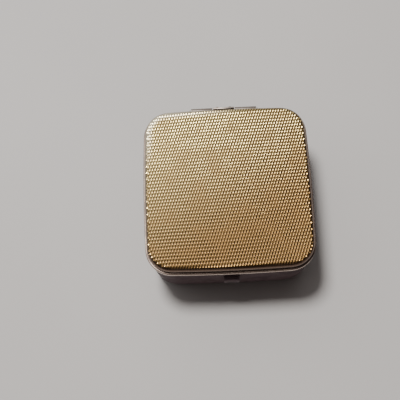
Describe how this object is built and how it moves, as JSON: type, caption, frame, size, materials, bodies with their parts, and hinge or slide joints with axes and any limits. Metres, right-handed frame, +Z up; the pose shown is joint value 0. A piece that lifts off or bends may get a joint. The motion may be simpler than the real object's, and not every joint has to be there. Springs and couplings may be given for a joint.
{
  "type": "rosin cake",
  "caption": "Amber rosin cake in a square metal case with an embossed gilt lid, a back hinge and a front push catch.",
  "frame": {"origin": "centre of the case's flat underside, under the middle of its whole length and width", "axes": "+Z up out of the lid, +Y towards the hinge at the back, +X to the right seen from the catch at the front"},
  "size_m": [0.06, 0.0644, 0.0296],
  "materials": {
    "gilt_sheet": "embossed gilt sheet metal, bright on the bumps and dark between them",
    "nickel_rim": "polished nickel, lightly worn",
    "dark_steel": "dark plated steel, satin",
    "brass_pan": "satin brass, spun lines and dust",
    "felt": "short-pile claret felt",
    "amber_rosin": "translucent amber rosin, dusty where the bow runs",
    "spring_steel": "blued spring steel",
    "rivet_steel": "nickel-plated rivets"
  },
  "bodies": {
    "base": {"base_bezel": "nickel_rim", "base_shell": "dark_steel", "cake_tray": "brass_pan", "tray_felt": "felt", "rosin_cake": "amber_rosin", "base_hinge_leaf_left": "nickel_rim", "base_hinge_leaf_right": "nickel_rim", "hinge_pin": "spring_steel", "catch_guide": "nickel_rim", "catch_spring": "spring_steel", "base_rivet_1": "rivet_steel", "base_rivet_2": "rivet_steel", "base_rivet_3": "rivet_steel", "base_rivet_4": "rivet_steel", "guide_rivet_1": "rivet_steel", "guide_rivet_2": "rivet_steel"},
    "lid": {"lid_cover": "gilt_sheet", "lid_bezel": "nickel_rim", "lid_liner": "brass_pan", "lid_felt": "felt", "lid_hinge_leaf": "nickel_rim", "catch_strike": "nickel_rim", "lid_rivet_1": "rivet_steel", "lid_rivet_2": "rivet_steel"},
    "catch": {"catch_button": "dark_steel", "catch_hook": "spring_steel"}
  },
  "joints": [
    {"name": "lid_hinge", "type": "hinge", "parent": "base", "child": "lid", "pos_m": [0, 0.031, 0.025], "axis": [-1, 0, 0], "range_deg": [0, 105]},
    {"name": "catch_press", "type": "slide", "parent": "base", "child": "catch", "axis": [0, 1, 0], "range_m": [0, 0.001], "stiffness_N_per_m": 400, "springref_m": -0.0005, "deforming": ["catch_spring"]}
  ]
}
